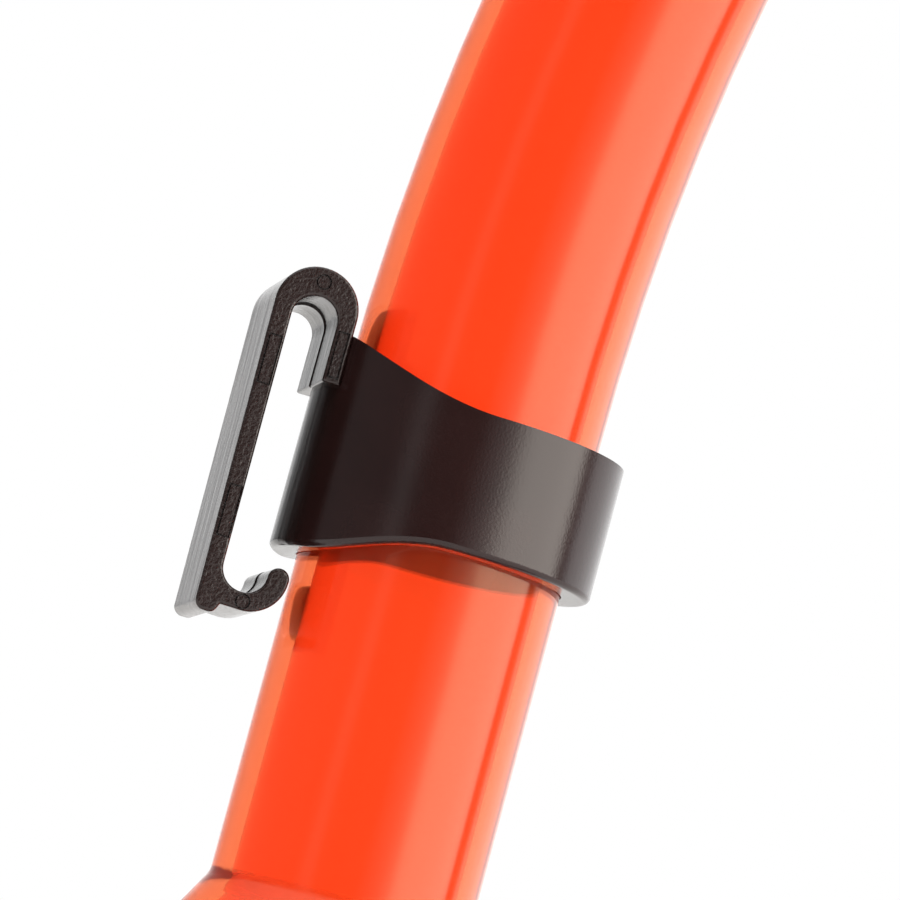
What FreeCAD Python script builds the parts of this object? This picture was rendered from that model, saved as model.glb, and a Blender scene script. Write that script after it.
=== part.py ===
# Snorkel: a bent tube with a strap keeper, a float-valve dry top, and a swivelling lower
# chamber with a mouthpiece and a purge valve.
# Millimetres. +Z runs up the straight lower stretch of the tube, +X points towards the
# mouthpiece and the bend, and the strap hook points to -X. The origin is the middle of the
# flat face under the purge cover.
import FreeCAD, Part
import math
import os

V = FreeCAD.Vector
X_AXIS = V(1, 0, 0)
Y_AXIS = V(0, 1, 0)
Z_AXIS = V(0, 0, 1)

# Driving dimensions of the tube.
TUBE_R = 12.5
BORE_R = 10.5
FLARE_Z = 84.0
BELL_R = 17.0
BELL_BORE_R = 14.9
BELL_Z = 54.0
BELL_LIP_R = 17.9
BELL_LIP_LENGTH = 2.5
FLARE_ANGLE = math.radians(30.0)
BEND_START_Z = FLARE_Z + 46.5
BEND_R = 262.0
BEND_DEGREES = 38.0
UPPER_LENGTH = 60.0

# Fits.
RUNNING = 0.05
SNUG = 0.05
LOOSE = 0.3

# Strap keeper: a collar with a wavy edge and a hook, heights above the flare.
KEEPER_BORE_R = TUBE_R + 0.1
COLLAR_R = 15.26
COLLAR_LOW = 33.3
COLLAR_HIGH = 46.3
COLLAR_DIP = 2.6
COLLAR_RISE = 5.2
COLLAR_LOW_ROUND = 0.6
HOOK_ROUND = 0.3
HOOK_DEPTH = 13.0
HOOK_OUT_TOP = 21.98
HOOK_OUT_LOW = 21.62
HOOK_TOP = 56.33
HOOK_FOOT = 22.48
SLOT_OUT_TOP = 20.0
SLOT_OUT_LOW = 19.86
SLOT_IN = 15.78
SLOT_TOP = 53.35
SLOT_LOW = 25.2
CURL_IN = 13.64
CURL_LOW = 23.29
CURL_TOP = 28.17
SHORT_LEG_IN = 13.95
SHORT_LEG_LOW = 46.0
PARTING_STEP = 0.1
MARK_DEPTH = 0.3
GROOVE = 0.16
INSERT_PANELS = ((-21.62, -20.3, 44.2, 49.0), (-21.45, -20.16, 29.5, 34.5), (-15.42, -14.3, 46.5, 51.0))
EJECTOR_R = 0.74
EJECTORS = ((-17.95, 54.95), (-17.38, 24.24))

# Lower chamber.
CHAMBER_R = 18.0
CHAMBER_BORE_R = 14.5
CHAMBER_LOW = 8.0
CHAMBER_TOP = 53.6
SPIGOT_TOP = 72.0
SPIGOT_BORE_R = 11.5
SEAL_Z = 64.0
SEAL_WIRE_R = 1.15
PORT_Z = 30.0
PORT_R = 12.5
PORT_BORE_R = 10.5
PORT_END = 38.0
PORT_BEAD_R = 13.2
PORT_BEAD = (33.0, 36.0)

# Purge valve.
SEAT_R = 15.95
SEAT_LOW = 8.6
SEAT_THICK = 2.4
SEAT_HUB_R = 3.6
SEAT_WINDOW_R = 12.0
SPOKES = 6
FLAP_R = 13.5
FLAP_THICK = 1.0
FLAP_STEM_R = 1.5
PURGE_LIFT = 1.2
COVER_R = 19.7
COVER_TOP = 14.0
COVER_FLOOR = 1.8
COVER_SLOTS = 8

# Mouthpiece.
SLEEVE_R = 14.8
SLEEVE_START = 22.0
SLEEVE_END = 42.0
THROAT_END = 72.0
THROAT_HALF_WIDTH = 19.0
THROAT_HALF_HEIGHT = 9.5
AIR_HALF_WIDTH = 13.0
AIR_HALF_HEIGHT = 5.5
SHIELD_R = 38.0
SHIELD_THICK = 2.2
SHIELD_X = 66.0
SHIELD_HALF_WIDTH = 30.0
SHIELD_HALF_HEIGHT = 13.0
TAB_Y = 15.0
TAB_WIDTH = 9.0
TAB_END = 86.0
TIE_X = 27.0
TIE_WIDTH = 4.6
TIE_THICK = 1.3

# Dry top, in its own frame: z = 0 is the tube's cut end and z runs on along the tube.
TOP_SOCKET_R = 15.0
TOP_SOCKET_DEPTH = 20.0
DECK_R = 19.0
DECK_THICK = 2.5
FLOAT_SIDE = 20.0
MOUTH_R = 10.0
MOUTH_WALL_R = 12.0
MOUTH_Z = 14.0
PIN_X = 15.0
PIN_Z = 16.5
PIN_R = 1.0
BOSS_R = 2.6
EAR_Y = (7.0, 9.0)
OPEN_DEGREES = 22.0
SHROUD_WALL = 2.0
SHROUD_TOP = 30.0
CAP_THICK = 3.4
FLOAT_CENTRE = 19.0
FLOAT_R = 14.5
FLOAT_INNER = 22.0
FLOAT_LOW = 9.6
FLOAT_TOP = 28.0
FLOAT_WALL = 1.2


def outline(corners):
    """Closed face in the XZ plane from (x, z, corner radius) points."""
    starts = []
    ends = []
    mids = []
    count = len(corners)
    for i in range(count):
        x, z, radius = corners[i]
        point = V(x, 0, z)
        before = V(corners[i - 1][0], 0, corners[i - 1][1]) - point
        after = V(corners[(i + 1) % count][0], 0, corners[(i + 1) % count][1]) - point
        before.normalize()
        after.normalize()
        half = before.getAngle(after) / 2
        reach = radius / math.tan(half) if radius else 0
        starts.append(point + before * reach)
        ends.append(point + after * reach)
        middle = before + after
        if radius:
            middle.normalize()
            middle = middle * (radius / math.sin(half) - radius)
        mids.append(point + middle)
    edges = []
    for i in range(count):
        if corners[i][2]:
            edges.append(Part.Arc(starts[i], mids[i], ends[i]).toShape())
        following = starts[(i + 1) % count]
        if ends[i].distanceToPoint(following) > 1e-4:
            edges.append(Part.LineSegment(ends[i], following).toShape())
    return Part.Face(Part.Wire(edges))


def turned(corners):
    """Solid of revolution about Z from (radius, z, corner radius) points."""
    return outline(corners).revolve(V(0, 0, 0), Z_AXIS, 360)


def disc(radius, low, high, centre=V(0, 0, 0)):
    return Part.makeCylinder(radius, high - low, centre + V(0, 0, low))


def ring(outer, inner, low, high):
    return disc(outer, low, high).cut(disc(inner, low - 1, high + 1))


def block(x0, x1, y0, y1, z0, z1):
    return Part.makeBox(x1 - x0, y1 - y0, z1 - z0, V(x0, y0, z0))


def rod_x(radius, x0, x1):
    """Cylinder along X on the mouthpiece port's axis."""
    return Part.makeCylinder(radius, x1 - x0, V(x0, 0, PORT_Z), X_AXIS)


def fused(shapes):
    result = shapes[0].multiFuse(shapes[1:])
    return result.removeSplitter()


def around(shape, count, first=0.0):
    """Copies of a shape turned evenly about Z."""
    copies = []
    for i in range(count):
        copy = shape.copy()
        copy.rotate(V(0, 0, 0), Z_AXIS, first + i * 360.0 / count)
        copies.append(copy)
    return copies


# ---- tube ----

def main_tube():
    """Bell socket, short flare, straight stretch, long bend and straight upper end."""
    bell_top = FLARE_Z - (BELL_R - TUBE_R) / math.tan(FLARE_ANGLE)
    inner_top = bell_top - 1.5 + (BELL_BORE_R - BORE_R) / math.tan(FLARE_ANGLE)
    lip_top = BELL_Z + BELL_LIP_LENGTH
    lower = turned([
        (BORE_R, BEND_START_Z, 0),
        (BORE_R, inner_top, 4.0),
        (BELL_BORE_R, bell_top - 1.5, 1.0),
        (BELL_BORE_R, BELL_Z, 0),
        (BELL_LIP_R, BELL_Z, 0.5),
        (BELL_LIP_R, lip_top, 0.5),
        (BELL_R, lip_top, 0),
        (BELL_R, bell_top, 3.0),
        (TUBE_R, FLARE_Z, 1.6),
        (TUBE_R, BEND_START_Z, 0),
    ])
    section = Part.Face(Part.Wire(Part.makeCircle(TUBE_R, V(0, 0, BEND_START_Z))))
    bore = Part.Face(Part.Wire(Part.makeCircle(BORE_R, V(0, 0, BEND_START_Z))))
    section = section.cut(bore).Faces[0]
    bend = section.revolve(V(BEND_R, 0, BEND_START_Z), Y_AXIS, BEND_DEGREES)
    upper = place_on_top(ring(TUBE_R, BORE_R, -UPPER_LENGTH, 0))
    return fused([lower, bend, upper])


def place_on_top(shape):
    """Move a shape from the dry top's own frame to the end of the tube."""
    turn = math.radians(BEND_DEGREES)
    shift = V(
        BEND_R * (1 - math.cos(turn)) + UPPER_LENGTH * math.sin(turn),
        0,
        BEND_START_Z + BEND_R * math.sin(turn) + UPPER_LENGTH * math.cos(turn),
    )
    move = FreeCAD.Placement(shift, FreeCAD.Rotation(Y_AXIS, BEND_DEGREES))
    placed = shape.copy()
    placed.Placement = move.multiply(shape.Placement)
    return placed


# ---- strap keeper ----

def wave_curve(heights):
    """Smooth curve across the collar, from the hook side to the far side."""
    curve = Part.BSplineCurve()
    curve.interpolate([V(x, 0, z) for x, z in heights])
    return curve.toShape()


def collar_edge(level, change, first, last):
    """Edge heights: level away from the hook, level + change at the hook."""
    heights = []
    steps = 6
    for i in range(steps + 1):
        angle = math.radians(first + (last - first) * i / steps)
        share = 0.5 * (1 + math.cos(math.pi * i / steps))
        heights.append((-COLLAR_R * math.cos(angle), FLARE_Z + level + change * share))
    return heights


def collar():
    """Round band whose edges sweep up and down towards the hook."""
    top = collar_edge(COLLAR_HIGH, COLLAR_RISE, 5.0, 90.0)
    low = collar_edge(COLLAR_LOW, -COLLAR_DIP, 30.0, 85.0)
    reach = COLLAR_R + 2
    edges = [wave_curve(top), wave_curve(low)]
    path = [
        V(top[-1][0], 0, top[-1][1]),
        V(reach, 0, top[-1][1]),
        V(reach, 0, low[-1][1]),
        V(low[-1][0], 0, low[-1][1]),
    ]
    path_back = [
        V(low[0][0], 0, low[0][1]),
        V(-reach, 0, low[0][1]),
        V(-reach, 0, top[0][1]),
        V(top[0][0], 0, top[0][1]),
    ]
    for points in (path, path_back):
        for start, end in zip(points, points[1:]):
            edges.append(Part.LineSegment(start, end).toShape())
    face = Part.Face(Part.Wire(Part.__sortEdges__(edges)))
    face.translate(V(0, -reach, 0))
    prism = face.extrude(V(0, 2 * reach, 0))
    high = FLARE_Z + COLLAR_HIGH + COLLAR_RISE + 1
    return ring(COLLAR_R, KEEPER_BORE_R, FLARE_Z + COLLAR_LOW - COLLAR_DIP - 1, high).common(prism)


def hook_half(low_y, high_y, step):
    """Half the strip's depth: short leg, U bend, long leg and a round curl towards the collar."""
    slot_in = -SLOT_IN + step
    slot_top = SLOT_TOP + 2 * step
    slot_low = SLOT_LOW - step
    bend_in = (SLOT_OUT_TOP - SLOT_IN) / 2 - 0.05 + step
    bend_out = (HOOK_OUT_TOP - SHORT_LEG_IN) / 2 - 0.05
    tip_round = (-CURL_IN - slot_in) / 2 - 0.01
    corners = [
        (slot_in, SHORT_LEG_LOW, 0.2),
        (slot_in, slot_top, bend_in),
        (-SLOT_OUT_TOP - step, slot_top, bend_in),
        (-SLOT_OUT_LOW - step, slot_low, 2.1 + step),
        (slot_in, slot_low, 1.85 + step),
        (slot_in, CURL_TOP, tip_round),
        (-CURL_IN, CURL_TOP, tip_round),
        (-CURL_IN, CURL_LOW, 3.7),
        (-19.3, 23.46, 0.15),
        (-19.76, HOOK_FOOT, 0.75),
        (-HOOK_OUT_LOW, HOOK_FOOT, 0.95),
        (-HOOK_OUT_TOP, HOOK_TOP, bend_out),
        (-SHORT_LEG_IN, HOOK_TOP, bend_out),
        (-SHORT_LEG_IN, SHORT_LEG_LOW, 0.0),
    ]
    face = outline([(x, FLARE_Z + z, r) for x, z, r in corners])
    face.translate(V(0, low_y, 0))
    half = face.extrude(V(0, high_y - low_y, 0))
    far = low_y if abs(low_y) > abs(high_y) else high_y
    rim = []
    for edge in half.Edges:
        box = edge.BoundBox
        if box.YLength < 0.01 and abs(box.YMin - far) < 0.01:
            rim.append(edge)
    return half.makeFillet(HOOK_ROUND, rim)


def hook_marks():
    """Fine grooves round the insert panels and ejector marks, to be cut from the hook's -Y face."""
    face_y = -HOOK_DEPTH / 2
    marks = []
    for x0, x1, z0, z1 in INSERT_PANELS:
        low = FLARE_Z + z0
        high = FLARE_Z + z1
        panel = block(x0, x1, face_y - 1, face_y + MARK_DEPTH, low, high)
        inside = block(x0 + GROOVE, x1 - GROOVE, face_y - 2, face_y + 2, low + GROOVE, high - GROOVE)
        marks.append(panel.cut(inside))
    for x, z in EJECTORS:
        centre = V(x, face_y - 1, FLARE_Z + z)
        outer = Part.makeCylinder(EJECTOR_R, 1 + MARK_DEPTH, centre, Y_AXIS)
        marks.append(outer.cut(Part.makeCylinder(EJECTOR_R - GROOVE, 2, centre, Y_AXIS)))
    return Part.makeCompound(marks)


def hook():
    """Strap hook in one strip, with the mould's parting step along the middle of its depth."""
    front = hook_half(-HOOK_DEPTH / 2, 0, PARTING_STEP)
    back = hook_half(0, HOOK_DEPTH / 2, 0.0)
    return fused([front, back]).cut(hook_marks())


def strap_keeper():
    """Collar and hook in one moulding, with soft edges."""
    band = collar()
    low_edges = []
    for edge in band.Edges:
        box = edge.BoundBox
        point = edge.valueAt(edge.FirstParameter)
        outside = math.hypot(point.x, point.y) > COLLAR_R - 0.1
        if outside and box.ZMax < FLARE_Z + COLLAR_LOW + 0.1 and edge.Length > 1:
            low_edges.append(edge)
    band = band.makeFillet(COLLAR_LOW_ROUND, low_edges)
    return fused([band, hook()])


# ---- lower chamber ----

def purge_chamber():
    """Barrel with the spigot that the bell turns on and the port for the mouthpiece."""
    groove_half = SEAL_WIRE_R + SNUG
    groove_r = BELL_BORE_R - RUNNING - 2 * SEAL_WIRE_R - SNUG
    spigot_r = BELL_BORE_R - RUNNING
    body = turned([
        (0, CHAMBER_LOW, 0),
        (CHAMBER_R, CHAMBER_LOW, 0.4),
        (CHAMBER_R, CHAMBER_TOP, 0.3),
        (spigot_r, CHAMBER_TOP, 0),
        (spigot_r, SEAL_Z - groove_half, 0),
        (groove_r, SEAL_Z - groove_half, 0),
        (groove_r, SEAL_Z + groove_half, 0),
        (spigot_r, SEAL_Z + groove_half, 0),
        (spigot_r, SPIGOT_TOP, 0.6),
        (0, SPIGOT_TOP, 0),
    ])
    port = fused([rod_x(PORT_R, 0, PORT_END), rod_x(PORT_BEAD_R, *PORT_BEAD)])
    hollow = turned([
        (0, CHAMBER_LOW - 1, 0),
        (SEAT_R + SNUG, CHAMBER_LOW - 1, 0),
        (SEAT_R + SNUG, 12.0, 0),
        (CHAMBER_BORE_R, 12.0, 0),
        (CHAMBER_BORE_R, 46.0, 3.0),
        (SPIGOT_BORE_R, 50.0, 1.5),
        (SPIGOT_BORE_R, SPIGOT_TOP + 1, 0),
        (0, SPIGOT_TOP + 1, 0),
    ])
    return fused([body, port]).cut(hollow).cut(rod_x(PORT_BORE_R, 0, PORT_END + 1))


def swivel_ring():
    """Ring snapped on the chamber, with an inward lip over the bell's rim."""
    lip_z = BELL_Z + BELL_LIP_LENGTH + LOOSE
    outer = CHAMBER_R + 2.2
    return turned([
        (CHAMBER_R + SNUG, 46.0, 0.3),
        (outer, 46.0, 0.8),
        (outer, lip_z + 2.2, 0.8),
        (BELL_R + LOOSE, lip_z + 2.2, 0.3),
        (BELL_R + LOOSE, lip_z, 0),
        (BELL_LIP_R + LOOSE, lip_z, 0),
        (BELL_LIP_R + LOOSE, CHAMBER_TOP - 0.2, 0),
        (CHAMBER_R + SNUG, CHAMBER_TOP - 0.2, 0),
    ])


def socket_seal():
    centre_r = BELL_BORE_R - RUNNING - SEAL_WIRE_R
    return Part.makeTorus(centre_r, SEAL_WIRE_R, V(0, 0, SEAL_Z))


# ---- purge valve ----

def purge_seat():
    """Round seat with spokes and a hub that holds the flap's stem."""
    low = SEAT_LOW
    high = SEAT_LOW + SEAT_THICK
    rim = ring(SEAT_R, SEAT_WINDOW_R, low, high)
    hub = disc(SEAT_HUB_R, low, high)
    spoke = block(0, SEAT_WINDOW_R + 1, -0.8, 0.8, low, high)
    seat = fused([rim, hub] + around(spoke, SPOKES))
    return seat.cut(disc(FLAP_STEM_R + 0.1, low - 1, high + 1))


def purge_seat_gasket():
    return ring(SEAT_R - 0.1, CHAMBER_BORE_R + 0.1, SEAT_LOW + SEAT_THICK, 12.0)


def purge_flap():
    """Thin round flap with a stem and a bulb that stops it under the seat."""
    top = SEAT_LOW - SNUG
    bulb_low = SEAT_LOW + SEAT_THICK + PURGE_LIFT + 0.1
    return turned([
        (0, top - FLAP_THICK - 0.4, 0),
        (4.0, top - FLAP_THICK - 0.4, 0.3),
        (FLAP_R, top - 0.6, 0.2),
        (FLAP_R, top, 0),
        (FLAP_STEM_R, top, 0),
        (FLAP_STEM_R, bulb_low, 0),
        (2.5, bulb_low, 0.3),
        (1.0, bulb_low + 5.0, 0.5),
        (0, bulb_low + 5.0, 0),
    ])


def purge_cover():
    """Slotted cup that snaps over the chamber's lower end, flat underneath."""
    inner = CHAMBER_R + SNUG
    cup = turned([
        (0, 0, 0),
        (COVER_R - 0.6, 0, 1.2),
        (COVER_R, COVER_TOP, 0.6),
        (inner, COVER_TOP, 0.3),
        (inner, COVER_FLOOR, 0.4),
        (0, COVER_FLOOR, 0),
    ])
    floor_slot = block(7.5, 15.5, -1.3, 1.3, -1, COVER_FLOOR + 1)
    side_slot = block(inner - 1, COVER_R + 1, -3.0, 3.0, 3.4, 6.4)
    slots = around(floor_slot, 2 * COVER_SLOTS)
    return cup.cut(fused(slots)).cut(Part.makeCompound(around(side_slot, COVER_SLOTS)))


# ---- mouthpiece ----

def oval(x, half_width, half_height):
    """Ellipse wire across the port's axis, never quite round so that all ovals match."""
    wide = max(half_width, half_height + 0.02)
    top = V(x, 0, PORT_Z + half_height)
    return Part.Wire(Part.Ellipse(V(x, wide, PORT_Z), top, V(x, 0, PORT_Z)).toShape())


def bite_tab(side):
    """Platform held between the teeth, with an upright ridge at its end."""
    inner = side * TAB_Y - TAB_WIDTH / 2
    outer = inner + TAB_WIDTH
    ridge_x = TAB_END - 3.0
    platform = block(SHIELD_X, TAB_END, inner, outer, PORT_Z - 1.6, PORT_Z + 1.6)
    ridge = block(ridge_x, TAB_END, inner, outer, PORT_Z - 4.5, PORT_Z + 4.5)
    tab = fused([platform, ridge])
    across = [e for e in tab.Edges if e.BoundBox.XMin > SHIELD_X + 1 and e.BoundBox.YLength > 5]
    return tab.makeFillet(0.7, across)


def mouthpiece():
    """Sleeve over the port, flattened throat, curved lip shield and two bite tabs."""
    sleeve = rod_x(SLEEVE_R, SLEEVE_START, SLEEVE_END)
    middle_x = (SLEEVE_END + THROAT_END) / 2
    middle_width = 0.5 * (SLEEVE_R + THROAT_HALF_WIDTH)
    throat = Part.makeLoft([
        oval(SLEEVE_END - 1, SLEEVE_R - 0.6, SLEEVE_R - 0.62),
        oval(middle_x, middle_width, 12.6),
        oval(THROAT_END, THROAT_HALF_WIDTH, THROAT_HALF_HEIGHT),
    ], True)
    air = Part.makeLoft([
        oval(PORT_END - 0.5, PORT_BORE_R, PORT_BORE_R - 0.02),
        oval(middle_x, 0.5 * (PORT_BORE_R + AIR_HALF_WIDTH), 8.2),
        oval(THROAT_END + 4, AIR_HALF_WIDTH, AIR_HALF_HEIGHT),
    ], True)
    centre = V(SHIELD_X + SHIELD_R, 0, 0)
    mouth_side = disc(SHIELD_R, -1, 2 * PORT_Z + 1, centre)
    shell = disc(SHIELD_R + SHIELD_THICK, 0, 2 * PORT_Z, centre).cut(mouth_side)
    patch = Part.Face(oval(50.0, SHIELD_HALF_WIDTH, SHIELD_HALF_HEIGHT)).extrude(V(40, 0, 0))
    shield = shell.common(patch)
    tabs = [bite_tab(side).common(disc(SHIELD_R + 1, 0, 2 * PORT_Z, centre)) for side in (1, -1)]
    tube_side = fused([sleeve, throat]).cut(mouth_side)
    body = fused([tube_side, shield] + tabs)
    socket = fused([
        rod_x(PORT_R + SNUG, SLEEVE_START - 1, PORT_END + SNUG),
        rod_x(PORT_BEAD_R + SNUG, PORT_BEAD[0] - SNUG, PORT_BEAD[1] + SNUG),
    ])
    return body.cut(socket).cut(air)


def mouthpiece_tie():
    """Cable tie that holds the mouthpiece on the port, with its locking head on top."""
    low = SLEEVE_R + SNUG
    band = rod_x(low + TIE_THICK, TIE_X, TIE_X + TIE_WIDTH)
    head = block(TIE_X - 0.8, TIE_X + TIE_WIDTH + 0.8, -3.6, 3.6, PORT_Z + low, PORT_Z + low + 4.6)
    tail = block(TIE_X + 0.3, TIE_X + TIE_WIDTH - 0.3, 0, 6.4, PORT_Z + low + 1.6, PORT_Z + low + 2.8)
    return fused([band, head, tail]).cut(rod_x(low, TIE_X - 2, TIE_X + TIE_WIDTH + 2))


# ---- dry top, in its own frame ----

def long_round(radius, low, high):
    """Prism with round ends, from the mouth's axis to the float's side."""
    middle = block(0, FLOAT_SIDE, -radius, radius, low, high)
    return fused([disc(radius, low, high), disc(radius, low, high, V(FLOAT_SIDE, 0, 0)), middle])


def dry_top_base():
    """Socket over the tube's end, deck with drain slots, raised mouth and hinge ears."""
    socket = disc(TOP_SOCKET_R, -TOP_SOCKET_DEPTH, 0)
    deck = long_round(DECK_R, 0, DECK_THICK)
    mouth = disc(MOUTH_WALL_R, 0, MOUTH_Z)
    inner_r = DECK_R - SHROUD_WALL - SNUG
    rib = long_round(inner_r, 0, 5.0).cut(long_round(inner_r - 1.0, -1, 6.0))
    ears = []
    for side in (-1, 1):
        low = min(side * EAR_Y[0], side * EAR_Y[1])
        width = EAR_Y[1] - EAR_Y[0]
        plate = block(PIN_X - 2.4, PIN_X + 2.4, low, low + width, 0, PIN_Z)
        head = Part.makeCylinder(2.4, width, V(PIN_X, low, PIN_Z), Y_AXIS)
        ears += [plate, head]
    base = fused([socket, deck, mouth, rib] + ears)
    base = base.cut(disc(TUBE_R + SNUG, -TOP_SOCKET_DEPTH - 1, 0))
    base = base.cut(disc(MOUTH_R, -1, MOUTH_Z + 1))
    pin_hole = Part.makeCylinder(PIN_R + 0.02, 20, V(PIN_X, -10, PIN_Z), Y_AXIS)
    drains = [block(21, 33, y - 1.5, y + 1.5, -1, DECK_THICK + 1) for y in (-9, -3, 3, 9)]
    groove = ring(TUBE_R + 1.3, TUBE_R, -15.0, -13.0)
    return base.cut(pin_hole).cut(Part.makeCompound(drains)).cut(groove)


def top_seal():
    """Square-section ring that seals the base to the tube."""
    return ring(TUBE_R + 1.25, TUBE_R + 0.02, -14.95, -13.05)


def hinge_pin():
    return Part.makeCylinder(PIN_R, 18.4, V(PIN_X, -9.2, PIN_Z), Y_AXIS)


def opened(shape):
    """Swing a piece of the float valve from closed to open about the hinge pin."""
    swung = shape.copy()
    swung.rotate(V(PIN_X, 0, PIN_Z), Y_AXIS, OPEN_DEGREES)
    return swung


def float_lever():
    """Arm with a boss on the pin, a disc over the mouth and a tongue into the float."""
    boss = Part.makeCylinder(BOSS_R, 13.4, V(PIN_X, -6.7, PIN_Z), Y_AXIS)
    plate_low = MOUTH_Z + 1.6
    plate = disc(10.5, plate_low, plate_low + 1.5)
    arm = block(0, PIN_X, -5.0, 5.0, plate_low, plate_low + 1.5)
    rib = block(-4.5, PIN_X, -0.8, 0.8, plate_low, plate_low + 3.0)
    tongue = block(PIN_X, FLOAT_INNER + 0.5, -6.0, 6.0, PIN_Z - 1.2, PIN_Z + 1.2)
    flange = block(FLOAT_INNER - 1.6, FLOAT_INNER - SNUG, -8.0, 8.0, PIN_Z - 4.5, PIN_Z + 4.5)
    lever = fused([boss, plate, arm, rib, tongue.common(block(0, FLOAT_INNER - 0.5, -9, 9, 0, 40)), flange])
    lever = lever.cut(disc(1.7, 0, 40, V(-7.5, 0, 0)))
    return opened(lever.cut(Part.makeCylinder(PIN_R + 0.06, 20, V(PIN_X, -10, PIN_Z), Y_AXIS)))


def float_block(low, high, shrink=0.0):
    """Rounded block on the float side of the hinge."""
    outer = disc(FLOAT_R - shrink, low, high, V(FLOAT_CENTRE, 0, 0))
    return outer.common(block(FLOAT_INNER + shrink, 60, -30, 30, low, high))


def float_body():
    """Hollow float, open on top."""
    lid_z = FLOAT_TOP - 1.6
    shell = float_block(FLOAT_LOW, lid_z)
    return opened(shell.cut(float_block(FLOAT_LOW + FLOAT_WALL, lid_z + 1, FLOAT_WALL)))


def float_lid():
    """Lid welded on the float, with a plug that locates it."""
    lid_z = FLOAT_TOP - 1.6
    plug = float_block(lid_z - 1.5, lid_z, FLOAT_WALL + SNUG)
    return opened(fused([float_block(lid_z, FLOAT_TOP), plug]))


def valve_flap():
    """Soft disc that closes the mouth, with a button through the lever."""
    low = MOUTH_Z + SNUG
    pad = disc(11.6, low, low + 1.45)
    stem = disc(1.6, low, low + 4.2, V(-7.5, 0, 0))
    button = disc(2.4, low + 3.15, low + 4.2, V(-7.5, 0, 0))
    return opened(fused([pad, stem, button]))


def top_shroud():
    """Slotted wall round the valve and the float."""
    wall = long_round(DECK_R, DECK_THICK, SHROUD_TOP)
    wall = wall.cut(long_round(DECK_R - SHROUD_WALL, DECK_THICK - 1, SHROUD_TOP + 1))
    slots = []
    for x in (2.0, 8.0, 14.0, 20.0):
        slots.append(block(x - 1.5, x + 1.5, -DECK_R - 1, DECK_R + 1, 8.0, 24.0))
    for degrees in (-60, -30, 0, 30, 60):
        slot = block(DECK_R - 4, DECK_R + 2, -1.5, 1.5, 8.0, 24.0)
        slot.rotate(V(0, 0, 0), Z_AXIS, degrees)
        slot.translate(V(FLOAT_SIDE, 0, 0))
        slots.append(slot)
    return wall.cut(Part.makeCompound(slots))


def top_cap():
    """Lid on the shroud, rounded above, with a locating lip inside."""
    plate = long_round(DECK_R, SHROUD_TOP, SHROUD_TOP + CAP_THICK)
    top_edges = [e for e in plate.Edges if e.BoundBox.ZMin > SHROUD_TOP + CAP_THICK - 0.01]
    plate = plate.makeFillet(2.4, top_edges)
    inner_r = DECK_R - SHROUD_WALL - SNUG
    lip = long_round(inner_r, SHROUD_TOP - 1.6, SHROUD_TOP)
    lip = lip.cut(long_round(inner_r - 1.2, SHROUD_TOP - 3, SHROUD_TOP + 1))
    return fused([plate, lip])


ROW_FRAME_PIECES = {
    "main_tube": main_tube,
    "strap_keeper": strap_keeper,
    "purge_chamber": purge_chamber,
    "swivel_ring": swivel_ring,
    "socket_seal": socket_seal,
    "purge_seat": purge_seat,
    "purge_seat_gasket": purge_seat_gasket,
    "purge_flap": purge_flap,
    "purge_cover": purge_cover,
    "mouthpiece": mouthpiece,
    "mouthpiece_tie": mouthpiece_tie,
}

TOP_FRAME_PIECES = {
    "dry_top_base": dry_top_base,
    "top_seal": top_seal,
    "hinge_pin": hinge_pin,
    "float_lever": float_lever,
    "float_body": float_body,
    "float_lid": float_lid,
    "valve_flap": valve_flap,
    "top_shroud": top_shroud,
    "top_cap": top_cap,
}


def save(name, shape):
    """Write one piece, after checking that it is one sound solid."""
    if len(shape.Solids) != 1 or not shape.isValid():
        print("CHECK", name, "solids", len(shape.Solids), "valid", shape.isValid())
    shape.Solids[0].exportStep("parts/" + name + ".step")
    print(name, round(shape.Volume / 1000.0, 3), "cm3")


os.makedirs("parts", exist_ok=True)
for piece_name, make in ROW_FRAME_PIECES.items():
    save(piece_name, make())
for piece_name, make in TOP_FRAME_PIECES.items():
    save(piece_name, place_on_top(make()))
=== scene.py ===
# Snorkel tube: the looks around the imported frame. Metres; +Z runs up the tube's straight lower
# stretch, the bend and the mouthpiece point to +X, the strap hook to -X.
import math
import bpy
import bmesh
from mathutils import Matrix, Vector


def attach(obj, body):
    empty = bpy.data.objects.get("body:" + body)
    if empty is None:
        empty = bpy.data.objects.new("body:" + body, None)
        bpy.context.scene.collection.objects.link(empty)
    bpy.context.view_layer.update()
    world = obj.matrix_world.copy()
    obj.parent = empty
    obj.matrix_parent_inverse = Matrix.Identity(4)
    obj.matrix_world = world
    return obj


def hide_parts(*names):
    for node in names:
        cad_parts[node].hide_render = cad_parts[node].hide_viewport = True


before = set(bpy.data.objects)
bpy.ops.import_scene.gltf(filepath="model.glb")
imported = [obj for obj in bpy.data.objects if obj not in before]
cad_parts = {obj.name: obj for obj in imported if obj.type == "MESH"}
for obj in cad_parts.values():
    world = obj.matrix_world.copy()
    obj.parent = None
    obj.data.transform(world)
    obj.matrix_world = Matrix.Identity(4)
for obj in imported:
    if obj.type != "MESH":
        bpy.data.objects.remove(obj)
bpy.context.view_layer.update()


# ---- sizes shared with the CAD: metres ----

FLARE_Z = 0.084
HOOK_STARTS_X = -0.0137
HOOK_HALF_DEPTH = 0.0065

# ---- the same, in millimetres ----

BEND_R = 262.0
BEND_START_Z = 130.5
BEND_ANGLE = math.radians(38.0)
UPPER_LENGTH = 60.0
HINGE_X = 15.0
HINGE_Z = 16.5
SWING_ANGLE = math.radians(22.0)
PORT_Z = 30.0
SHIELD_CENTRE_X = 104.0
SHIELD_MOUTH_R = 38.0
SHIELD_TUBE_R = 40.2
TAB_Y = 15.0
BUTTON_X = -7.5

# ---- camera and light ----

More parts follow.
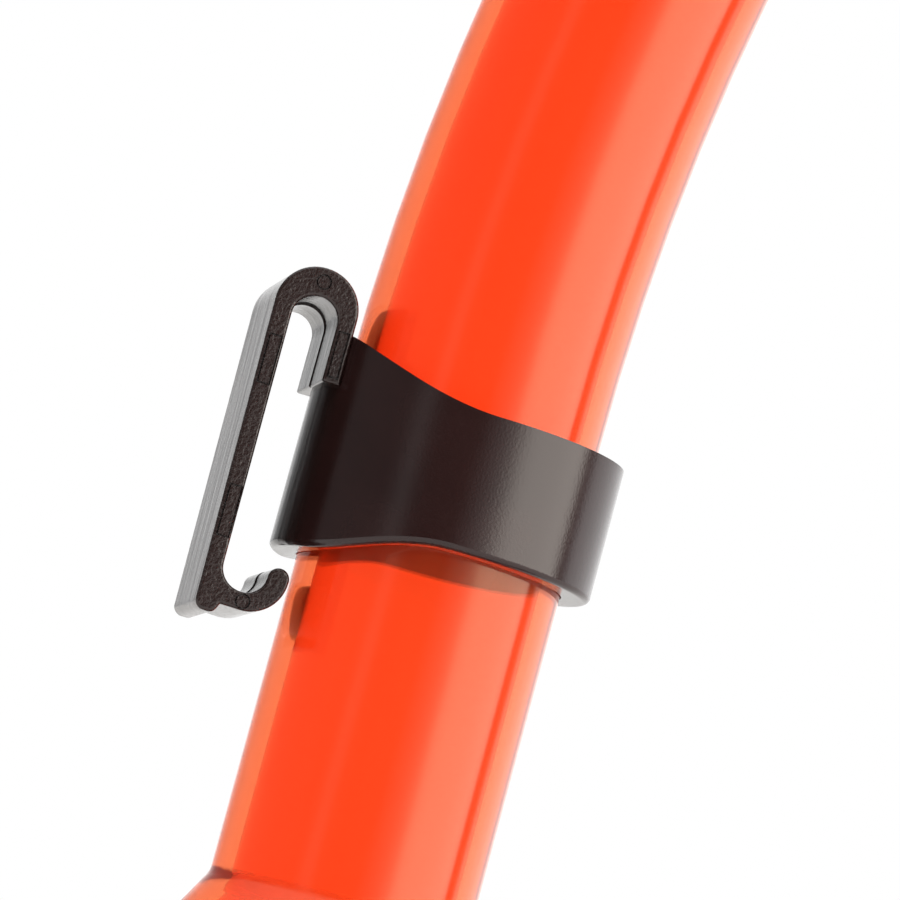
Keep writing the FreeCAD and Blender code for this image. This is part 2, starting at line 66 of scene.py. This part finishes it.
CAMERA_AT = Vector((-0.09189, -0.49926, FLARE_Z - 0.02271))
TARGET = Vector((-0.00116, 0.0, FLARE_Z + 0.0441))
LEAN = math.radians(15.21)
LENS = 217.0
UPRIGHT = Vector((0, 0, 1))
WHITE = (1.0, 1.0, 1.0, 1.0)
WARM = (1.0, 0.95, 0.88, 1.0)
BRIGHTEST = 5.0
CEILING_LEVEL = 1.4
CEILING_STARTS = 0.55
CEILING_FULL = 0.85
SEEN_THROUGH_LEVEL = 1.2
# Brightness by the angle round the upright axis, in degrees from the camera's side.
SURROUNDINGS = (
    (-180, 1.35), (-170, 1.15), (-160, 0.72), (-151, 0.40), (-140, 0.25), (-60, 0.18), (-47, 0.14),
    (-41, 0.25), (-36, 0.50), (-31, 0.45), (-25, 0.12), (-16, 0.04), (10, 0.04),
    (18, 0.35), (24, 0.60), (30, 1.00), (36, 1.80), (44, 3.80), (52, 4.30), (90, 4.20),
    (95, 3.20), (98, 0.15), (104, 0.15), (108, 1.40), (180, 1.35),
)
TINTS = ((-180, WHITE), (20, WHITE), (40, WARM), (95, WARM), (100, WHITE), (180, WHITE))

# ---- base colours ----

KEEPER_BLACK = (0.024, 0.0095, 0.009)
HOOK_BLACK = (0.0235, 0.0125, 0.0113)
BODY_BLACK = (0.014, 0.014, 0.015)
TIE_BLACK = (0.012, 0.012, 0.013)
VALVE_WHITE = (0.75, 0.75, 0.73)
FLOAT_WHITE = (0.85, 0.85, 0.83)


# ---- node helpers ----

def new_material(name):
    material = bpy.data.materials.new(name)
    material.use_nodes = True
    nodes = material.node_tree.nodes
    links = material.node_tree.links
    nodes.clear()
    output = nodes.new("ShaderNodeOutputMaterial")
    shader = nodes.new("ShaderNodeBsdfPrincipled")
    links.new(shader.outputs[0], output.inputs["Surface"])
    return material, nodes, links, shader


def noise(nodes, links, scale, detail=3.0, stretch=(1.0, 1.0, 1.0)):
    """Noise in object space; scale counts features per metre."""
    place = nodes.new("ShaderNodeTexCoord")
    mapping = nodes.new("ShaderNodeMapping")
    mapping.inputs["Scale"].default_value = stretch
    texture = nodes.new("ShaderNodeTexNoise")
    texture.inputs["Scale"].default_value = scale
    texture.inputs["Detail"].default_value = detail
    links.new(place.outputs["Object"], mapping.inputs["Vector"])
    links.new(mapping.outputs[0], texture.inputs["Vector"])
    return texture


def ramp(nodes, links, source, stops):
    """Colour ramp from (position, colour) stops, driven by a texture's factor."""
    band = nodes.new("ShaderNodeValToRGB")
    elements = band.color_ramp.elements
    while len(elements) < len(stops):
        elements.new(0.5)
    for element, (position, colour) in zip(elements, stops):
        element.position = position
        element.color = colour
    links.new(source.outputs[0], band.inputs[0])
    return band


def bump(nodes, links, source, shader, distance, strength=1.0):
    """Bump from a texture, depth in metres; the last one made is the one that shows."""
    node = nodes.new("ShaderNodeBump")
    node.inputs["Distance"].default_value = distance
    node.inputs["Strength"].default_value = strength
    links.new(source.outputs[0], node.inputs["Height"])
    links.new(node.outputs[0], shader.inputs["Normal"])
    return node


def math_node(nodes, links, operation, first, second):
    node = nodes.new("ShaderNodeMath")
    node.operation = operation
    for socket, value in zip(node.inputs, (first, second)):
        if isinstance(value, (int, float)):
            socket.default_value = value
        else:
            links.new(value, socket)
    return node.outputs[0]


def map_range(nodes, links, source, start, end):
    """0 at start, 1 at end and steady outside them."""
    node = nodes.new("ShaderNodeMapRange")
    node.inputs["From Min"].default_value = start
    node.inputs["From Max"].default_value = end
    links.new(source, node.inputs["Value"])
    return node.outputs[0]


def grey(value):
    return (value, value, value, 1.0)


def orange_plastic(name):
    """Glossy, slightly cloudy fluorescent orange with faint flow waves and a faint glow of its own."""
    material, nodes, links, shader = new_material(name)
    flow = noise(nodes, links, 60.0, 2.0, (1.0, 1.0, 0.2))
    colour = ramp(nodes, links, flow, [(0.35, (1.0, 0.215, 0.075, 1)), (0.65, (1.0, 0.195, 0.065, 1))])
    links.new(colour.outputs[0], shader.inputs["Base Color"])
    gloss = ramp(nodes, links, flow, [(0.3, grey(0.035)), (0.7, grey(0.055))])
    links.new(gloss.outputs[0], shader.inputs["Roughness"])
    shader.inputs["Transmission Weight"].default_value = 0.91
    shader.inputs["Specular Tint"].default_value = (1.0, 0.86, 0.62, 1.0)
    shader.inputs["Emission Color"].default_value = (1.0, 0.045, 0.004, 1.0)
    shader.inputs["Emission Strength"].default_value = 0.02
    bump(nodes, links, flow, shader, 0.00002, 0.25)
    return material


def black_plastic(name, base, low_gloss, high_gloss, grain_scale, grain_depth, has_hook=False):
    """Moulded black plastic with a fine grain; a strap hook gets its own skin as well."""
    material, nodes, links, shader = new_material(name)
    grain = noise(nodes, links, grain_scale, 3.0)
    patches = noise(nodes, links, 120.0, 2.0)
    dark = tuple(0.9 * c for c in base) + (1.0,)
    light = tuple(1.1 * c for c in base) + (1.0,)
    colour = ramp(nodes, links, patches, [(0.35, dark), (0.65, light)])
    links.new(colour.outputs[0], shader.inputs["Base Color"])
    gloss = ramp(nodes, links, patches, [(0.3, grey(low_gloss)), (0.7, grey(high_gloss))])
    links.new(gloss.outputs[0], shader.inputs["Roughness"])
    fine = bump(nodes, links, grain, shader, grain_depth, 0.6)
    if has_hook:
        add_hook_skin(nodes, links, shader, colour, fine)
    return material


def add_hook_skin(nodes, links, shader, colour, fine):
    """Greyer black, leather grain on the hook's front and back, and streaks along its sides."""
    place = nodes.new("ShaderNodeTexCoord")
    split = nodes.new("ShaderNodeSeparateXYZ")
    links.new(place.outputs["Object"], split.inputs[0])
    on_hook = map_range(nodes, links, split.outputs["X"], HOOK_STARTS_X, HOOK_STARTS_X - 0.0006)
    hook_colour = nodes.new("ShaderNodeMix")
    hook_colour.data_type = "RGBA"
    colour_a = hook_colour.inputs[6]
    colour_b = hook_colour.inputs[7]
    colour_out = hook_colour.outputs[2]
    colour_b.default_value = HOOK_BLACK + (1.0,)
    links.new(on_hook, hook_colour.inputs[0])
    links.new(colour.outputs[0], colour_a)
    links.new(colour_out, shader.inputs["Base Color"])
    off_middle = math_node(nodes, links, "ABSOLUTE", split.outputs["Y"], 0.0)
    near_face = map_range(nodes, links, off_middle, HOOK_HALF_DEPTH - 0.0007, HOOK_HALF_DEPTH - 0.0004)
    on_face = math_node(nodes, links, "MULTIPLY", on_hook, near_face)
    on_side = math_node(nodes, links, "SUBTRACT", on_hook, on_face)
    leather = bump(nodes, links, noise(nodes, links, 2600.0, 2.0), shader, 0.00008)
    links.new(on_face, leather.inputs["Strength"])
    lengthwise = noise(nodes, links, 420.0, 4.0, (1.0, 1.0, 0.14))
    streaks = bump(nodes, links, lengthwise, shader, 0.00012)
    links.new(on_side, streaks.inputs["Strength"])
    links.new(fine.outputs[0], leather.inputs["Normal"])
    links.new(leather.outputs[0], streaks.inputs["Normal"])


def pale_plastic(name, base):
    material, nodes, links, shader = new_material(name)
    patches = noise(nodes, links, 150.0, 3.0)
    dark = tuple(0.94 * c for c in base) + (1.0,)
    light = tuple(base) + (1.0,)
    colour = ramp(nodes, links, patches, [(0.35, dark), (0.65, light)])
    links.new(colour.outputs[0], shader.inputs["Base Color"])
    shader.inputs["Roughness"].default_value = 0.35
    bump(nodes, links, noise(nodes, links, 2500.0), shader, 0.00002, 0.4)
    return material


def steel(name):
    material, nodes, links, shader = new_material(name)
    lines = noise(nodes, links, 900.0, 3.0, (1.0, 0.05, 1.0))
    colour = ramp(nodes, links, lines, [(0.3, grey(0.5)), (0.7, grey(0.66))])
    links.new(colour.outputs[0], shader.inputs["Base Color"])
    shader.inputs["Metallic"].default_value = 1.0
    shader.inputs["Roughness"].default_value = 0.25
    bump(nodes, links, lines, shader, 0.00001, 0.3)
    return material


def silicone(name, dark, light, roughness, clear):
    """Soft rubber or silicone with faint mottling and a fine matt skin."""
    material, nodes, links, shader = new_material(name)
    patches = noise(nodes, links, 90.0, 3.0)
    colour = ramp(nodes, links, patches, [(0.35, dark + (1.0,)), (0.65, light + (1.0,))])
    links.new(colour.outputs[0], shader.inputs["Base Color"])
    gloss = ramp(nodes, links, patches, [(0.3, grey(roughness - 0.05)), (0.7, grey(roughness + 0.05))])
    links.new(gloss.outputs[0], shader.inputs["Roughness"])
    shader.inputs["IOR"].default_value = 1.41
    shader.inputs["Transmission Weight"].default_value = clear
    bump(nodes, links, noise(nodes, links, 1800.0), shader, 0.00002, 0.4)
    return material


def dress(node, material):
    """Give a CAD node a finished material."""
    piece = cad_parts[node]
    piece.data.materials.clear()
    piece.data.materials.append(material)


# ---- stage, camera and light ----

def camera_axes(target, position, roll):
    """Right, up and back vectors of a camera that leans over by roll."""
    back = (position - target).normalized()
    right = UPRIGHT.cross(back).normalized()
    up = back.cross(right)
    turn = Matrix.Rotation(roll, 3, back)
    return turn @ right, turn @ up, back


def make_camera():
    right, up, back = camera_axes(TARGET, CAMERA_AT, LEAN)
    data = bpy.data.cameras.new("camera")
    data.lens = LENS
    data.sensor_width = 36.0
    data.clip_start = 0.01
    data.clip_end = 50.0
    camera = bpy.data.objects.new("camera", data)
    turn = Matrix((right, up, back)).transposed().to_4x4()
    camera.matrix_world = Matrix.Translation(CAMERA_AT) @ turn
    bpy.context.scene.collection.objects.link(camera)
    bpy.context.scene.camera = camera


def along(nodes, links, vector, axis):
    """How far a vector reaches along an axis."""
    node = nodes.new("ShaderNodeVectorMath")
    node.operation = "DOT_PRODUCT"
    node.inputs[1].default_value = axis
    links.new(vector, node.inputs[0])
    return node.outputs["Value"]


def band_round(nodes, links, turn, stops):
    """Ramp over a whole turn from (degrees, colour) stops; the first and last are its ends."""
    band = nodes.new("ShaderNodeValToRGB")
    elements = band.color_ramp.elements
    for degrees, colour in stops[1:-1]:
        elements.new(0.5 + degrees / 360.0).color = colour
    elements[0].color = stops[0][1]
    elements[len(elements) - 1].color = stops[-1][1]
    links.new(turn, band.inputs[0])
    return band.outputs[0]


def background(nodes, level=1.0):
    node = nodes.new("ShaderNodeBackground")
    node.inputs["Color"].default_value = WHITE
    node.inputs["Strength"].default_value = level
    return node


def choose(nodes, links, switch, otherwise, chosen):
    """Second light where the switch is on, first light elsewhere."""
    node = nodes.new("ShaderNodeMixShader")
    links.new(switch, node.inputs[0])
    links.new(otherwise.outputs[0], node.inputs[1])
    links.new(chosen.outputs[0], node.inputs[2])
    return node


def light_tent(nodes, links):
    """Light whose brightness changes round the upright axis, with an even ceiling."""
    front = CAMERA_AT - TARGET
    front.z = 0.0
    front.normalize()
    side = UPRIGHT.cross(front)
    place = nodes.new("ShaderNodeTexCoord").outputs["Generated"]
    sideways = along(nodes, links, place, side)
    forwards = along(nodes, links, place, front)
    angle = math_node(nodes, links, "ARCTAN2", sideways, forwards)
    turn = math_node(nodes, links, "MULTIPLY_ADD", angle, 0.5 / math.pi)
    turn.node.inputs[2].default_value = 0.5
    greys = [(degrees, grey(level / BRIGHTEST)) for degrees, level in SURROUNDINGS]
    level = math_node(nodes, links, "MULTIPLY", band_round(nodes, links, turn, greys), BRIGHTEST)
    upwards = along(nodes, links, place, UPRIGHT)
    overhead = nodes.new("ShaderNodeMix")
    overhead.inputs["B"].default_value = CEILING_LEVEL
    ceiling = map_range(nodes, links, upwards, CEILING_STARTS, CEILING_FULL)
    links.new(ceiling, overhead.inputs["Factor"])
    links.new(level, overhead.inputs["A"])
    tent = background(nodes)
    links.new(band_round(nodes, links, turn, TINTS), tent.inputs["Color"])
    links.new(overhead.outputs[0], tent.inputs["Strength"])
    return tent


def light_stage():
    """The tent lights and is reflected; clear parts show even light, and the camera sees white."""
    world = bpy.data.worlds.new("studio")
    bpy.context.scene.world = world
    world.use_nodes = True
    nodes = world.node_tree.nodes
    links = world.node_tree.links
    nodes.clear()
    output = nodes.new("ShaderNodeOutputWorld")
    path = nodes.new("ShaderNodeLightPath").outputs
    tent = light_tent(nodes, links)
    seen_through = background(nodes, SEEN_THROUGH_LEVEL)
    lights = choose(nodes, links, path["Is Transmission Ray"], tent, seen_through)
    shown = choose(nodes, links, path["Is Camera Ray"], lights, background(nodes))
    links.new(shown.outputs[0], output.inputs["Surface"])


def make_floor():
    mesh = bpy.data.meshes.new("floor")
    build = bmesh.new()
    bmesh.ops.create_grid(build, x_segments=8, y_segments=8, size=4.0)
    build.to_mesh(mesh)
    build.free()
    floor = bpy.data.objects.new("floor", mesh)
    floor.location.z = -0.0005
    bpy.context.scene.collection.objects.link(floor)
    material, nodes, links, shader = new_material("pale_floor")
    patches = noise(nodes, links, 2.0)
    colour = ramp(nodes, links, patches, [(0.3, grey(0.84)), (0.7, grey(0.88))])
    links.new(colour.outputs[0], shader.inputs["Base Color"])
    shader.inputs["Roughness"].default_value = 0.6
    mesh.materials.append(material)


# ---- soft parts, in millimetres until they are finished ----

# The tube's upper end, and the open float lever measured from there.
TOP_AT = Matrix.Translation((
    BEND_R * (1 - math.cos(BEND_ANGLE)) + UPPER_LENGTH * math.sin(BEND_ANGLE),
    0,
    BEND_START_Z + BEND_R * math.sin(BEND_ANGLE) + UPPER_LENGTH * math.cos(BEND_ANGLE),
)) @ Matrix.Rotation(BEND_ANGLE, 4, "Y")
HINGE_AT = Matrix.Translation((HINGE_X, 0, HINGE_Z))
SWUNG_OPEN = HINGE_AT @ Matrix.Rotation(SWING_ANGLE, 4, "Y") @ HINGE_AT.inverted()


def rounded(corners, steps=5):
    """Closed outline with each corner (u, v, radius) rounded."""
    points = []
    count = len(corners)
    for i, (u, v, radius) in enumerate(corners):
        here = Vector((u, v))
        if radius <= 0:
            points.append(here)
            continue
        before = (Vector(corners[i - 1][:2]) - here).normalized()
        after = (Vector(corners[(i + 1) % count][:2]) - here).normalized()
        half = before.angle(after) / 2
        reach = radius / math.tan(half)
        start = here + before * reach
        end = here + after * reach
        for k in range(steps + 1):
            t = k / steps
            points.append(start * (1 - t) ** 2 + here * 2 * t * (1 - t) + end * t ** 2)
    return [(p.x, p.y) for p in points]


def add_turned(build, outline, centre=(0.0, 0.0), segments=120):
    """Turn a closed (r, z) outline about an upright axis; points with r = 0 are poles."""
    columns = []
    poles = {}
    for i, (r, z) in enumerate(outline):
        if r < 1e-6:
            poles[i] = build.verts.new((centre[0], centre[1], z))
    for s in range(segments):
        angle = 2 * math.pi * s / segments
        column = []
        for i, (r, z) in enumerate(outline):
            if i in poles:
                column.append(poles[i])
            else:
                x = centre[0] + r * math.cos(angle)
                y = centre[1] + r * math.sin(angle)
                column.append(build.verts.new((x, y, z)))
        columns.append(column)
    count = len(outline)
    for s in range(segments):
        here = columns[s]
        there = columns[(s + 1) % segments]
        for i in range(count):
            j = (i + 1) % count
            corners = []
            for vert in (here[i], there[i], there[j], here[j]):
                if vert not in corners:
                    corners.append(vert)
            if len(corners) > 2:
                build.faces.new(corners)


def add_rings(build, rings, closed_ends):
    """Skin over rings of points; the ends are capped, or else the last ring joins the first."""
    loops = [[build.verts.new(point) for point in ring] for ring in rings]
    count = len(loops[0])
    pairs = list(zip(loops, loops[1:]))
    if not closed_ends:
        pairs.append((loops[-1], loops[0]))
    for first, second in pairs:
        for i in range(count):
            j = (i + 1) % count
            build.faces.new((first[i], first[j], second[j], second[i]))
    if closed_ends:
        build.faces.new(list(reversed(loops[0])))
        build.faces.new(loops[-1])


def finish_piece(name, build, body, node, material, place=None):
    """Turn the mesh into a shown piece that stands for a CAD node."""
    bmesh.ops.recalc_face_normals(build, faces=build.faces[:])
    if place is not None:
        bmesh.ops.transform(build, matrix=place, verts=build.verts[:])
    bmesh.ops.scale(build, vec=(0.001, 0.001, 0.001), verts=build.verts[:])
    mesh = bpy.data.meshes.new(name)
    build.to_mesh(mesh)
    build.free()
    for polygon in mesh.polygons:
        polygon.use_smooth = True
    mesh.materials.append(material)
    piece = bpy.data.objects.new(name, mesh)
    bpy.context.scene.collection.objects.link(piece)
    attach(piece, body)
    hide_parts(node)
    return piece


def oval_ring(x_of, half_width, half_height, power=2.0, centre_y=0.0, count=112):
    """Ring of points across the port's axis; x may vary over the width, and power squares it off."""
    points = []
    for i in range(count):
        angle = 2 * math.pi * i / count
        c = math.cos(angle)
        s = math.sin(angle)
        y = centre_y + half_width * math.copysign(abs(c) ** (2 / power), c)
        z = PORT_Z + half_height * math.copysign(abs(s) ** (2 / power), s)
        x = x_of(y) if callable(x_of) else x_of
        points.append((x, y, z))
    return points


def mouth_side(y):
    """x of the lip shield's face towards the mouth."""
    return SHIELD_CENTRE_X - math.sqrt(SHIELD_MOUTH_R ** 2 - y ** 2)


def tube_side(y):
    """x of the lip shield's face towards the tube."""
    return SHIELD_CENTRE_X - math.sqrt(SHIELD_TUBE_R ** 2 - y ** 2)


def add_sleeve_and_throat(build):
    """Sleeve with rims beside the tie, flattening into the throat, with its air passage."""
    outside = [
        (22.0, 14.1, 14.1), (22.2, 14.5, 14.5), (22.8, 14.8, 14.8), (24.8, 14.8, 14.8),
        (25.3, 15.15, 15.15), (26.1, 15.15, 15.15), (26.6, 14.8, 14.8), (31.9, 14.8, 14.8),
        (32.4, 15.15, 15.15), (33.2, 15.15, 15.15), (33.8, 14.8, 14.8), (38.0, 14.75, 14.75),
        (42.0, 14.7, 14.5), (47.0, 15.3, 13.9), (52.0, 16.0, 13.25), (57.0, 16.9, 12.5),
        (61.0, 17.5, 11.7),
    ]
    inside = [
        (61.0, 12.1, 7.6), (57.0, 11.75, 8.2), (50.0, 11.3, 9.0), (44.0, 10.8, 9.9),
        (38.0, 10.5, 10.5), (38.0, 12.5, 12.5), (36.2, 12.5, 12.5), (35.8, 13.2, 13.2),
        (33.2, 13.2, 13.2), (32.8, 12.5, 12.5), (23.0, 12.5, 12.5), (22.0, 13.1, 13.1),
    ]
    rings = [oval_ring(*station) for station in outside]
    rings.append(oval_ring(lambda y: tube_side(y) + 0.8, 18.9, 9.6))
    rings.append(oval_ring(lambda y: tube_side(y) + 1.4, 13.2, 5.7))
    rings += [oval_ring(*station) for station in inside]
    add_rings(build, rings, False)


def add_shield(build):
    """Curved lip shield with a thick soft rim; stations are (share of the way out, depth)."""
    stations = [
        (0.0, 0.1), (0.05, 0.0), (0.35, 0.0), (0.7, 0.0), (0.86, 0.0), (0.91, -0.25), (0.96, -0.3),
        (0.99, 0.1), (1.0, 0.5), (0.99, 0.92), (0.96, 1.12), (0.91, 1.1), (0.86, 1.0), (0.7, 1.0),
        (0.35, 1.0), (0.05, 1.0), (0.0, 0.9),
    ]
    rings = []
    for share, depth in stations:
        half_width = 13.0 + 17.0 * share
        half_height = 5.5 + 7.5 * share

        def surface(y):
            return tube_side(y) + depth * (mouth_side(y) - tube_side(y))

        rings.append(oval_ring(surface, half_width, half_height))
    add_rings(build, rings, False)


def add_bite_tab(build, centre_y):
    """Tab with low grip ribs and an upright ridge that sits behind the teeth."""
    stations = [(67.6, 4.4, 1.5), (69.0, 4.4, 1.6), (71.0, 4.4, 1.6)]
    for k in range(5):
        x = 72.0 + 1.9 * k
        stations += [(x, 4.4, 1.5), (x + 0.6, 4.45, 1.95)]
        stations += [(x + 1.1, 4.45, 1.95), (x + 1.6, 4.4, 1.5)]
    stations += [
        (82.0, 4.4, 1.7), (82.6, 4.45, 2.6), (83.1, 4.5, 3.9), (83.8, 4.5, 4.45),
        (85.0, 4.5, 4.4), (85.7, 4.3, 4.1), (86.0, 3.8, 3.5),
    ]
    add_rings(build, [oval_ring(x, w, h, 3.6, centre_y) for x, w, h in stations], True)


def make_mouthpiece(material):
    """Sleeve, throat, lip shield and bite tabs, blended into one skin."""
    build = bmesh.new()
    add_sleeve_and_throat(build)
    add_shield(build)
    add_bite_tab(build, TAB_Y)
    add_bite_tab(build, -TAB_Y)
    piece = finish_piece(
        "soft_mouthpiece", build, "lower_unit", "mouthpiece", material)
    remesh = piece.modifiers.new("one_skin", "REMESH")
    remesh.mode = "VOXEL"
    remesh.voxel_size = 0.0005
    remesh.use_smooth_shade = True
    smooth = piece.modifiers.new("soft_edges", "SMOOTH")
    smooth.factor = 0.5
    smooth.iterations = 5


def make_purge_flap(material):
    """Thin dished flap with a rim bead, a ring rib and a pull-through stem."""
    build = bmesh.new()
    outline = [
        (0, 7.15, 0), (3.9, 7.15, 0.3), (4.4, 7.5, 0.2), (7.2, 7.62, 0.2), (7.5, 7.4, 0.1),
        (8.1, 7.45, 0.1), (8.4, 7.7, 0.2), (12.3, 7.93, 0.2), (12.7, 7.78, 0.15),
        (13.45, 7.95, 0.25), (13.45, 8.53, 0.15), (1.5, 8.53, 0.1), (1.5, 12.3, 0.1),
        (2.48, 12.32, 0.3), (2.3, 13.6, 0.5), (1.0, 17.2, 0.4), (0, 17.25, 0),
    ]
    add_turned(build, rounded(outline))
    finish_piece("soft_purge_flap", build, "flap", "purge_flap", material)


def make_valve_flap(material):
    """Sealing pad with a raised lip and a button pulled through the lever."""
    build = bmesh.new()
    pad = [
        (0, 14.35, 0), (8.6, 14.35, 0.3), (9.0, 14.08, 0.15), (11.55, 14.08, 0.3), (11.55, 15.2, 0.5),
        (10.7, 15.48, 0.3), (0, 15.48, 0),
    ]
    add_turned(build, rounded(pad))
    button = [
        (0, 15.0, 0), (1.55, 15.0, 0), (1.55, 17.25, 0.1), (2.38, 17.3, 0.3), (2.1, 18.1, 0.4),
        (0, 18.2, 0),
    ]
    add_turned(build, rounded(button), (BUTTON_X, 0.0), 60)
    finish_piece(
        "soft_valve_flap", build, "float", "valve_flap", material,
        TOP_AT @ SWUNG_OPEN)


def make_socket_seal(material):
    """O-ring with its mould line round the inside and the outside."""
    build = bmesh.new()
    ring_r = 13.7
    ring_z = 64.0
    section_r = 1.09
    steps = 36
    outline = []
    for k in range(steps):
        angle = 2 * math.pi * k / steps
        flash = 0.06 if k in (0, steps // 2) else 0.0
        r = ring_r + (section_r + flash) * math.cos(angle)
        outline.append((r, ring_z + section_r * math.sin(angle)))
    add_turned(build, outline, (0.0, 0.0), 160)
    finish_piece("soft_socket_seal", build, "lower_unit", "socket_seal", material)


def make_top_seal(material):
    """Square-section ring with two sealing lips towards the tube."""
    build = bmesh.new()
    outline = [
        (12.53, -14.9, 0.1), (13.7, -14.9, 0.25), (13.7, -13.1, 0.25), (12.53, -13.1, 0.1),
        (12.53, -13.5, 0.05), (12.72, -13.75, 0.1), (12.72, -14.25, 0.1), (12.53, -14.5, 0.05),
    ]
    add_turned(build, rounded(outline), (0.0, 0.0), 160)
    finish_piece("soft_top_seal", build, "tube", "top_seal", material, TOP_AT)


def make_seat_gasket(material):
    """Flat ring with a groove round its upper face."""
    build = bmesh.new()
    outline = [
        (14.65, 11.03, 0.12), (15.8, 11.03, 0.12), (15.8, 11.97, 0.15), (15.45, 11.97, 0.08),
        (15.22, 11.8, 0.08), (15.0, 11.97, 0.08), (14.65, 11.97, 0.15),
    ]
    add_turned(build, rounded(outline), (0.0, 0.0), 160)
    finish_piece(
        "soft_seat_gasket", build, "lower_unit", "purge_seat_gasket", material)


# ---- the scene ----

bpy.context.scene.view_settings.view_transform = "Standard"
make_camera()
light_stage()
make_floor()

dress("main_tube", orange_plastic("tube_orange"))
dress("top_shroud", orange_plastic("shroud_orange"))
dress("strap_keeper", black_plastic("keeper_black", KEEPER_BLACK, 0.14, 0.17, 4200.0, 0.00003, True))
body_plastic = black_plastic("body_black", BODY_BLACK, 0.3, 0.4, 2500.0, 0.00004)
for node in ("purge_chamber", "swivel_ring", "purge_cover", "dry_top_base", "top_cap"):
    dress(node, body_plastic)
dress("mouthpiece_tie", black_plastic("tie_black", TIE_BLACK, 0.2, 0.28, 1500.0, 0.00001))
valve_plastic = pale_plastic("valve_white", VALVE_WHITE)
for node in ("purge_seat", "float_lever"):
    dress(node, valve_plastic)
float_plastic = pale_plastic("float_white", FLOAT_WHITE)
for node in ("float_body", "float_lid"):
    dress(node, float_plastic)
dress("hinge_pin", steel("pin_steel"))

mouth_silicone = silicone(
    "mouthpiece_silicone", (0.022, 0.022, 0.024), (0.034, 0.034, 0.036), 0.42, 0.0)
flap_silicone = silicone("flap_silicone", (0.70, 0.74, 0.77), (0.80, 0.83, 0.85), 0.3, 0.25)
seal_rubber = silicone("seal_rubber", (0.018, 0.018, 0.018), (0.03, 0.03, 0.03), 0.5, 0.0)
make_mouthpiece(mouth_silicone)
make_purge_flap(flap_silicone)
make_valve_flap(flap_silicone)
make_socket_seal(seal_rubber)
make_top_seal(seal_rubber)
make_seat_gasket(seal_rubber)
